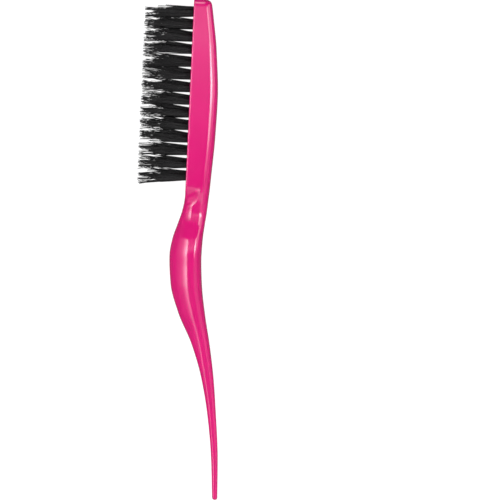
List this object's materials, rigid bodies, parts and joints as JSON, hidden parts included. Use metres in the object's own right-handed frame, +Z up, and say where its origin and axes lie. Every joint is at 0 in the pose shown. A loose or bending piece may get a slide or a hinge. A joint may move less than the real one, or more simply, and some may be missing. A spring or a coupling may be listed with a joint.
{
  "type": "teasing brush",
  "caption": "Narrow teasing brush: straight glossy pink head with staggered rows of black mixed-length bristle tufts, a palm-bulge handle and a thin rat-tail end.",
  "frame": {"origin": "centre of the brush's outline, on the surface that the brush lies on", "axes": "+X from the flat end of the head to the tip of the tail; bristles point along -Y, square to the bristle face; +Z up through the side of the head, square to the brush's plane of symmetry"},
  "size_m": [0.2246, 0.0427, 0.0178],
  "materials": {
    "pink_plastic": "polished injection-moulded plastic, high gloss, opaque hot pink",
    "black_bristle": "black bristle filaments with a faint satin sheen",
    "brass_wire": "bright drawn flat wire, used by the tuft anchors that the visual model adds"
  },
  "bodies": {
    "root": {"brush_body": "pink_plastic", "tuft_left_01": "black_bristle", "tuft_left_02": "black_bristle", "tuft_left_03": "black_bristle", "tuft_left_04": "black_bristle", "tuft_left_05": "black_bristle", "tuft_left_06": "black_bristle", "tuft_left_07": "black_bristle", "tuft_left_08": "black_bristle", "tuft_left_09": "black_bristle", "tuft_left_10": "black_bristle", "tuft_left_11": "black_bristle", "tuft_left_12": "black_bristle", "tuft_left_13": "black_bristle", "tuft_left_14": "black_bristle", "tuft_middle_01": "black_bristle", "tuft_middle_02": "black_bristle", "tuft_middle_03": "black_bristle", "tuft_middle_04": "black_bristle", "tuft_middle_05": "black_bristle", "tuft_middle_06": "black_bristle", "tuft_middle_07": "black_bristle", "tuft_middle_08": "black_bristle", "tuft_middle_09": "black_bristle", "tuft_middle_10": "black_bristle", "tuft_middle_11": "black_bristle", "tuft_middle_12": "black_bristle", "tuft_middle_13": "black_bristle", "tuft_middle_14": "black_bristle", "tuft_right_01": "black_bristle", "tuft_right_02": "black_bristle", "tuft_right_03": "black_bristle", "tuft_right_04": "black_bristle", "tuft_right_05": "black_bristle", "tuft_right_06": "black_bristle", "tuft_right_07": "black_bristle", "tuft_right_08": "black_bristle", "tuft_right_09": "black_bristle", "tuft_right_10": "black_bristle", "tuft_right_11": "black_bristle", "tuft_right_12": "black_bristle", "tuft_right_13": "black_bristle", "tuft_right_14": "black_bristle"}
  },
  "joints": []
}
